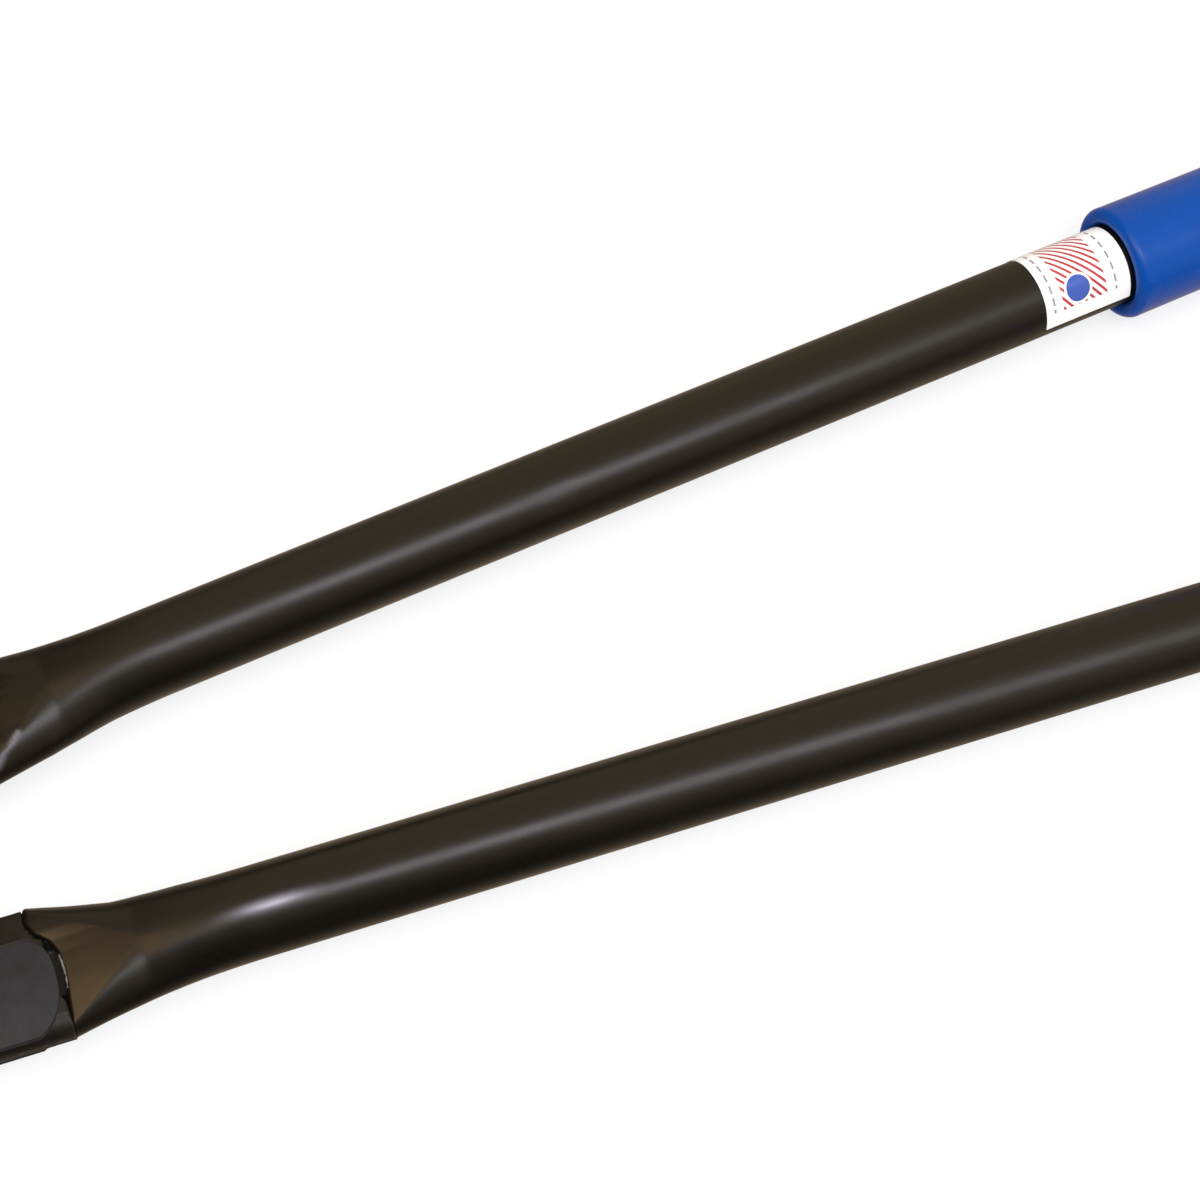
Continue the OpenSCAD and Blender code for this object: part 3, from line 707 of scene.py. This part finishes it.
def shapeForging(piece, side):
    # lowers each vertex under a ceiling set by its place along and across the arm, then moves
    # it in under the tube's lip or along to the tube's mouth
    along, out, up = handleCoordinates(side, meshPoints(piece.data))
    onArm = along > -80
    blend = np.clip((along - forgings["slopeStart"]) / (forgings["slopeFull"] - forgings["slopeStart"]), 0, 1)
    # slope: the height of the inner edge falls in a straight line from the pad outwards
    past = np.clip(forgings["slopeFrom"] - out, 0, None)
    ceiling = forgings["slopeTop"] - past * math.tan(math.radians(forgings["slopeAngle"]))
    ceiling = np.where(past > 0, ceiling, forgings["noCeiling"])
    # the outer edge is rounded to a quarter circle
    radius = forgings["edgeRadius"]
    beyond = np.clip(out - (layout["armHalfWidth"] - radius), 0, radius)
    rounded = forgings["edgeTop"] - radius + np.sqrt(radius ** 2 - beyond ** 2)
    ceiling = np.minimum(ceiling, np.where(beyond > 0, rounded, forgings["noCeiling"])) + (1 - blend) * 20
    underPad = (along > pad["front"] + 0.5) & (out > pad["inner"] + 0.2) & (out < pad["outer"] - 0.2)
    ceiling = np.where(underPad, np.minimum(ceiling, forgings["padRest"]), ceiling)
    # tuck: near the mouth the inner part goes under the tube's lip
    innerHalf = tubes["mouthWidth"] / 2 - tubes["wall"] - 0.1
    innerRise = tubes["mouthThick"] / 2 - tubes["wall"] - 0.1
    crown = tubes["crown"] * (np.clip(out / tubes["flatHalf"], -1, 1)) ** 2
    lip = np.interp(out, tubes["mouthAcross"], tubes["mouthBack"])
    tucked = np.clip((along - lip) / forgings["tuckGap"] + 1, 0, 1) * (out < forgings["tuckFrom"])
    slim = np.sqrt(np.clip(1 - (np.clip(-out - forgings["slimFrom"], 0, None)
                                / (innerHalf - forgings["slimFrom"])) ** 2, 0, 1))
    ceiling = np.minimum(ceiling, (innerRise - crown) * slim + (1 - tucked) * forgings["noCeiling"])
    height = np.where(onArm, np.minimum(np.abs(up), ceiling), np.abs(up))
    # relief: the rim of the right arm's tongue is ground back, clear of the fork's inner corners
    if side > 0:
        fromBolt = np.hypot(*meshPoints(piece.data)[:, :2].T)
        rim = np.interp(fromBolt, forgings["tongueRim"], (0, 1, 1, 0))
        height = height - forgings["tongueRelief"] * rim * ((height > 4) & (height < forgings["tongueHalf"]))
    inner = np.where(tucked > 0.5, innerHalf, forgings["innerReach"] + (1 - blend) * 60)
    across = np.where(onArm & (out < -inner), -inner, out)
    # sink: lower the tang in the open middle of the mouth; reach: carry the shoulder's outer
    # part up to the tube, easing out along the arm and along the tang
    sunk = (np.interp(along, forgings["sinkAlong"], (0, 1, 1, 0))
            * np.interp(out, forgings["sinkAcross"], (0, 1, 1, 0)))
    height = height * (1 - forgings["sink"] * sunk)
    outerPart = np.clip((out - forgings["reachFrom"]) / (forgings["reachFull"] - forgings["reachFrom"]), 0, 1)
    reach = forgings["reach"] * outerPart * np.interp(along, forgings["reachAlong"], (0, 1, 1, 0))
    along = along + reach
    setMeshPoints(piece.data, handlePoints(side, along, across, np.sign(up) * height))


# the flat pad on each face of an arm: its outline from the head to the tube and back
pad = {
    "front": -60, "inner": -11.2, "outer": 22.6, "rear": -1.1, "top": 9.2, "base": 7.2,
    "innerCorner": 10.5, "outerCornerAlong": 7.5, "outerCornerAcross": 16, "rim": 0.7,
}


def roundedCorner(start, corner, end, count):
    # a curve that leaves start towards the corner and arrives at end from it
    t = np.linspace(0, 1, count)[:, None]
    start, corner, end = (np.array(p, float) for p in (start, corner, end))
    return (1 - t) ** 2 * start + 2 * t * (1 - t) * corner + t ** 2 * end


def buildPad(name, side):
    rear, inner, outer, front = pad["rear"], pad["inner"], pad["outer"], pad["front"]
    outline = np.concatenate([
        roundedCorner((front + 6, inner), (front + 1, inner), (front, inner + 5), 8)[::-1],
        roundedCorner((rear - pad["innerCorner"], inner), (rear - 1, inner),
                      (rear, inner + pad["innerCorner"]), 20),
        roundedCorner((rear, outer - pad["outerCornerAcross"]), (rear - 1, outer - 6),
                      (rear - pad["outerCornerAlong"] - 1, outer - 1), 20),
        roundedCorner((rear - pad["outerCornerAlong"] - 3, outer), (rear - 12, outer),
                      (rear - 16, outer), 6),
        roundedCorner((front + 6, outer), (front + 1, outer), (front, outer - 5), 8)])
    middle = outline.mean(0)
    inward = middle - outline
    inward = inward / np.linalg.norm(inward, axis=1)[:, None]
    rings = []
    for drop, narrow in ((pad["top"] - pad["base"], -0.3), (0.9, -0.1), (0.35, 0.08), (0.1, 0.35), (0, 0.75)):
        ring = outline + inward * narrow * pad["rim"]
        rings.append(np.column_stack([ring, np.full(len(ring), pad["top"] - drop)]))
    rings = np.stack(rings)
    upper = handlePoints(side, rings[..., 0], rings[..., 1], rings[..., 2])
    lower = handlePoints(side, rings[..., 0], rings[..., 1], -rings[..., 2])
    return writeMesh(name, [(upper, False), (lower, False)], 60)


for side, hand in hands:
    forging = solidFromCad(hand + "_forging", hand + "_handle_forging", forgings["voxel"],
                           forgings["smoothing"])
    shapeForging(forging, side)
    finishPiece(forging, hand + "_handle", "forging_black", armPaint, hand + "_handle_forging")
    finishPiece(buildPad(hand + "_arm_pads", side), hand + "_handle", "forging_black", forgedBlack)
print("forgings made")

plates = {"jawVoxel": 0.55, "strapVoxel": 0.6, "smoothing": 2}

for hand in ("right", "left"):
    jaw = solidFromCad(hand + "_cutting_jaw", hand + "_jaw", plates["jawVoxel"], plates["smoothing"])
    finishPiece(jaw, hand + "_jaw", "jaw_steel", jawMetal, hand + "_jaw")
for level in ("top", "bottom"):
    strap = solidFromCad(level + "_strap_plate", level + "_strap", plates["strapVoxel"], plates["smoothing"])
    finishPiece(strap, "straps", "strap_steel", strapSteel, level + "_strap")
print("jaws and straps made")

# ---- bolts, nuts and washers ----

hardware = {"sides": 96, "threadPitch": 2.0, "threadDepth": 0.62, "threadStep": 0.2, "chamfer": 1.2}


def hexRadius(flats, angle):
    # distance from the middle to the edge of a hexagon across its flats
    sector = np.mod(angle + np.pi / 6, np.pi / 3) - np.pi / 6
    return flats / 2 / np.cos(sector)


def ringGrid(radius, angle, height):
    # points round the upright axis
    x, y, z = np.broadcast_arrays(radius * np.cos(angle), radius * np.sin(angle), height)
    return np.stack([x, y, z], -1)


def turnedHex(levels, caps, flats, angle):
    # rings at these levels: a hexagon where the flats size is given, cut by a cap radius
    radius = np.minimum(hexRadius(flats, angle)[None, :], np.array(caps)[:, None])
    return ringGrid(radius, angle, np.array(levels, float)[:, None])


def threadRings(low, high, radius, angle):
    # radius falls from crest to root and back once each pitch, and the pitch climbs with the angle
    height = np.arange(low, high + 0.01, hardware["threadStep"])
    turn = height[:, None] / hardware["threadPitch"] - angle[None, :] / (2 * np.pi)
    groove = np.abs(np.mod(turn, 1) * 2 - 1)
    fade = np.clip(np.minimum(height - low, high - height) / 1.0, 0, 1)[:, None]
    r = radius - hardware["threadDepth"] * np.clip(groove * 1.25 - 0.1, 0, 1) * fade
    return ringGrid(r, angle, height[:, None])


def boltGrid(flats, headHeight, radius, top, threadFrom, lowChamfer=True):
    # head, shank and thread as one closed skin, standing on its head
    angle = ringAngles(hardware["sides"])
    corner, inside = flats / math.sqrt(3), flats / 2
    drop = (corner - inside) * 1.15
    first = [0.6, inside - 1.2, inside - 0.3] if lowChamfer else [0.6, inside, corner]
    head = turnedHex([0, 0, 0.05, drop, headHeight - 0.5, headHeight - 0.12, headHeight],
                     first + [corner, corner, corner - 0.25, corner - 0.6], flats, angle)
    shank = turnedHex([headHeight, headHeight + 0.3, threadFrom - 0.2], [radius + 0.3, radius, radius],
                      99, angle)
    thread = threadRings(threadFrom, top - hardware["chamfer"], radius, angle)
    tip = turnedHex([top - hardware["chamfer"] + 0.1, top, top], [radius - 0.2, radius - 1.3, 0.6], 99, angle)
    return np.concatenate([head, shank, thread, tip])


def nutGrid(flats, height, bore, lowChamfer, highChamfer):
    # a hexagonal skin with turned-down corners and a countersunk bore, closed on itself
    angle = ringAngles(hardware["sides"])
    corner, inside = flats / math.sqrt(3), flats / 2
    drop = (corner - inside) * 1.15
    low = [inside - 0.3, corner] if lowChamfer else [corner - 0.5, corner]
    high = [corner, inside - 0.3] if highChamfer else [corner, corner - 0.5]
    levels = [0, drop if lowChamfer else 0.3, height - (drop if highChamfer else 0.3), height,
              height - 0.1, height - 1.1, 1.1, 0.1]
    caps = low + high + [bore + 1.1, bore, bore, bore + 1.1]
    return turnedHex(levels, caps, flats, angle)


def washerGrid(outer, bore, height, gapAngle):
    # a rounded rectangle carried round most of a turn, with blunt ends
    around = np.radians(np.linspace(gapAngle, 360 - gapAngle, 90) + 28)
    soft = 0.25
    acrossProfile = np.array([bore + soft, outer - soft, outer, outer, outer - soft, bore + soft, bore, bore])
    upProfile = np.array([0, 0, soft, height - soft, height, height, height - soft, soft])
    return ringGrid(acrossProfile[None, :], around[:, None], upProfile)


def cornerWear(piece, flats):
    # marks the corners of the hexagons, where spanners rub
    up = np.abs(vertexVectors(piece.data, "normal")[:, 2])
    setAttribute(piece.data, "edge", np.clip(1 - np.abs(up - 0.5) * 3, 0, 1))


nutLevel = midHeight + layout["stackHalf"] + layout["washerHeight"]
boltTop = nutLevel + layout["nutHeight"] + layout["endPastNut"]
headHeight = midHeight - layout["stackHalf"]
boltRadius = layout["boltDiameter"] / 2

# each set: its name, its body, its places and the CAD names of its bolt, washer and nut
boltSets = (
    ("jaw_bolt", "straps", ((jawAlong, layout["jawBoltOut"]), (jawAlong, -layout["jawBoltOut"])),
     ("jaw_bolts", "jaw_bolt_washers", "jaw_bolt_nuts")),
    ("right_link", "right_handle", ((linkAlong, linkOut),),
     ("right_link_bolt", "right_link_washer", "right_link_nut")),
    ("left_link", "left_handle", ((linkAlong, -linkOut),),
     ("left_link_bolt", "left_link_washer", "left_link_nut")),
    ("centre", "left_handle", ((0, 0),), ("centre_bolt", "centre_washer", "centre_nut")),
)

for name, body, places, cadNodes in boltSets:
    shifts = [np.array([x, y, 0.0]) for x, y in places]
    bolt = boltGrid(layout["boltFlats"], headHeight, boltRadius, boltTop, nutLevel + 0.5)
    nut = nutGrid(layout["boltFlats"], layout["nutHeight"], boltRadius - 0.1, False, True)
    washer = washerGrid(layout["boltFlats"] / 2 + 0.5, boltRadius + 0.2, layout["washerHeight"], 3.2)
    lift = np.array([0, 0, nutLevel])
    press = np.array([0, 0, nutLevel - layout["washerHeight"]])
    boltPiece = writeMesh(name + "_bolt_steel", [(bolt + s, False) for s in shifts], 28)
    nutPiece = writeMesh(name + "_nut_steel", [(nut + s + lift, True) for s in shifts], 28)
    washerPiece = writeMesh(name + "_spring_washer", [(washer + s + press, False) for s in shifts], 30)
    for piece in (boltPiece, nutPiece, washerPiece):
        cornerWear(piece, layout["boltFlats"])
    finishPiece(boltPiece, body, "bolt_black", boltBlack, cadNodes[0])
    finishPiece(washerPiece, body, "washer_zinc", washerZinc, cadNodes[1])
    finishPiece(nutPiece, body, "bolt_black", boltBlack, cadNodes[2])

# the stop screw lies across the opening: its axis runs along +Y
stop = {"along": 42, "diameter": 10, "flats": 17, "gap": 12, "edge": 0.1, "depth": 20}
stopHead = 0.6 * (stop["gap"] - stop["edge"])


def layAcross(grid, start):
    # stands a grid's axis along +Y at the stop's place
    return np.stack([stop["along"] + grid[..., 0], start + grid[..., 2], midHeight - grid[..., 1]], -1)


stopStart = -stop["gap"] / 2 + stop["edge"]
screw = boltGrid(stop["flats"], stopHead, stop["diameter"] / 2, stop["gap"] - stop["edge"] + stop["depth"],
                 stopHead + 0.6)
lockNut = nutGrid(stop["flats"], stop["gap"] - stop["edge"] - stopHead, stop["diameter"] / 2 - 0.1,
                  True, True)
screwPiece = writeMesh("stop_screw_steel", [(layAcross(screw, stopStart), False)], 28)
lockPiece = writeMesh("stop_lock_nut_steel", [(layAcross(lockNut, stopStart + stopHead), True)], 28)
for piece in (screwPiece, lockPiece):
    cornerWear(piece, stop["flats"])
finishPiece(screwPiece, "right_handle", "bolt_black", boltBlack, "stop_screw")
finishPiece(lockPiece, "right_handle", "washer_zinc", washerZinc, "stop_lock_nut")
print("bolts, nuts and washers made")

# ---- floor, light and camera ----

studio = {
    "floorSize": 14, "floorColour": "#f4f4f4", "floorGlow": 0.72, "nearReflected": "#c8b298",
    "farReflected": "#1d1b18", "skyColour": "#f7f7f7", "fillColour": "#a8a9ab",
    "roomWarm": "#cdbb97", "roomDark": "#12110f",
    "longPlace": (0.76, -0.77, 2.0), "longSize": (1.65, 0.6), "longTurn": -29, "longPower": 14.6,
    "longColour": "#f5f7ff",
    "topPlace": (0.2, -0.5, 2.4), "topSize": (2.6, 2.6), "topPower": 62, "topColour": "#ffffff",
    "aim": (0.35, 0, 0), "tableLean": (-0.7, -0.2, 0.69), "roomLean": (2.0, 0.35, 0.9),
    "warmPlace": (-0.71, -0.03, 2.0), "warmSize": (0.6, 1.18), "warmPower": 9.8, "warmColour": "#ffcf96",
}
cameraSetup = {"place": (112.9, -305.0, 883.1), "turn": (23.92, -5.70, -23.01), "lens": 78, "sensor": 36}


def makeFloor():
    # a wide sweep of pale card: it looks evenly lit to the camera, and the tool's gloss sees
    # it as a dim warm table, darker at a glancing angle and most of all towards the front
    material, tree, shader = newMaterial("pale studio floor")
    path = addNode(tree, "LightPath")
    shader.inputs["Base Color"].default_value = hexColour(studio["floorColour"])
    shader.inputs["Roughness"].default_value = 0.9
    shader.inputs["Specular IOR Level"].default_value = 0
    glow = addNode(tree, "Emission", {"Color": "#ffffff", "Strength": 1.0})
    lit = addNode(tree, "MixShader", {0: studio["floorGlow"]}, {1: shader, 2: glow})
    tilted = addNode(tree, "CombineXYZ", dict(zip("XYZ", studio["tableLean"])))
    facing = addNode(tree, "LayerWeight", {"Blend": 0.5}, {"Normal": tilted})
    steepness = addNode(tree, "MapRange", {"From Min": 0.85, "From Max": 0.25},
                        {"Value": facing.outputs["Facing"]})
    table = addNode(tree, "Mix", {"data_type": "RGBA", 6: studio["farReflected"], 7: studio["nearReflected"]},
                    {0: steepness})
    dim = addNode(tree, "Emission", {"Strength": 1.0}, {"Color": table.outputs[2]})
    seen = addNode(tree, "MixShader", None, {0: path.outputs["Is Camera Ray"], 1: shader, 2: lit})
    mirrored = addNode(tree, "MixShader", None, {0: path.outputs["Is Glossy Ray"], 1: seen, 2: dim})
    linkInputs(tree, tree.nodes["Material Output"], {"Surface": mirrored})
    half = studio["floorSize"] / 2
    mesh = bpy.data.meshes.new("studio_floor")
    mesh.from_pydata([(-half, -half, 0), (half, -half, 0), (half, half, 0), (-half, half, 0)], [],
                     [(0, 1, 2, 3)])
    floor = bpy.data.objects.new("studio_floor", mesh)
    bpy.context.scene.collection.objects.link(floor)
    mesh.materials.append(material)


def makeRoom():
    # the world: pale to the camera, a neutral fill for soft light, and in the gloss a warm
    # room that darkens towards the low front left
    world = bpy.data.worlds.new("studio room")
    bpy.context.scene.world = world
    world.use_nodes = True
    tree = world.node_tree
    tree.nodes.clear()
    place = addNode(tree, "TexCoord")
    lean = addNode(tree, "VectorMath", {"operation": "DOT_PRODUCT", 1: studio["roomLean"]},
                   {0: place.outputs["Generated"]})
    warm = addNode(tree, "MapRange", {"interpolation_type": "SMOOTHSTEP", "From Min": 0.05, "From Max": 0.9},
                   {"Value": lean.outputs["Value"]})
    room = addNode(tree, "Mix", {"data_type": "RGBA", 6: studio["roomDark"], 7: studio["roomWarm"]},
                   {0: warm})
    path = addNode(tree, "LightPath")
    filled = addNode(tree, "Mix", {"data_type": "RGBA", 6: studio["fillColour"]},
                     {0: path.outputs["Is Glossy Ray"], 7: room.outputs[2]})
    shown = addNode(tree, "Mix", {"data_type": "RGBA", 7: studio["skyColour"]},
                    {0: path.outputs["Is Camera Ray"], 6: filled.outputs[2]})
    background = addNode(tree, "Background", {"Strength": 1.0}, {"Color": shown.outputs[2]})
    addNode(tree, "OutputWorld", None, {"Surface": background})


def addSoftBox(name, turn, inGloss):
    # a rectangular light that faces the tool, its long side turned this far from the X axis
    place = studio[name + "Place"]
    light = bpy.data.lights.new(name + "_box", "AREA")
    light.shape = "RECTANGLE"
    light.size, light.size_y = studio[name + "Size"]
    light.energy = studio[name + "Power"]
    light.color = hexColour(studio[name + "Colour"])[:3]
    lamp = bpy.data.objects.new(name + "_box", light)
    bpy.context.scene.collection.objects.link(lamp)
    away = (Vector(place) - Vector(studio["aim"])).normalized()
    longSide = Vector((math.cos(math.radians(turn)), math.sin(math.radians(turn)), 0))
    shortSide = away.cross(longSide).normalized()
    longSide = shortSide.cross(away)
    lamp.matrix_world = Matrix.LocRotScale(
        Vector(place), Matrix((longSide, shortSide, away)).transposed().to_quaternion(), None)
    lamp.visible_glossy = inGloss


def makeCamera():
    data = bpy.data.cameras.new("camera")
    data.sensor_width = cameraSetup["sensor"]
    data.lens = cameraSetup["lens"]
    data.clip_start, data.clip_end = 0.01, 100
    camera = bpy.data.objects.new("camera", data)
    bpy.context.scene.collection.objects.link(camera)
    camera.location = [c * mm for c in cameraSetup["place"]]
    camera.rotation_euler = Euler([math.radians(t) for t in cameraSetup["turn"]], "XYZ")
    bpy.context.scene.camera = camera


makeFloor()
makeRoom()
for name, turn, inGloss in (("long", studio["longTurn"], True), ("top", 0, False), ("warm", 0, True)):
    addSoftBox(name, turn, inGloss)
makeCamera()
bpy.context.scene.view_settings.view_transform = "Standard"
print("floor, light and camera set")
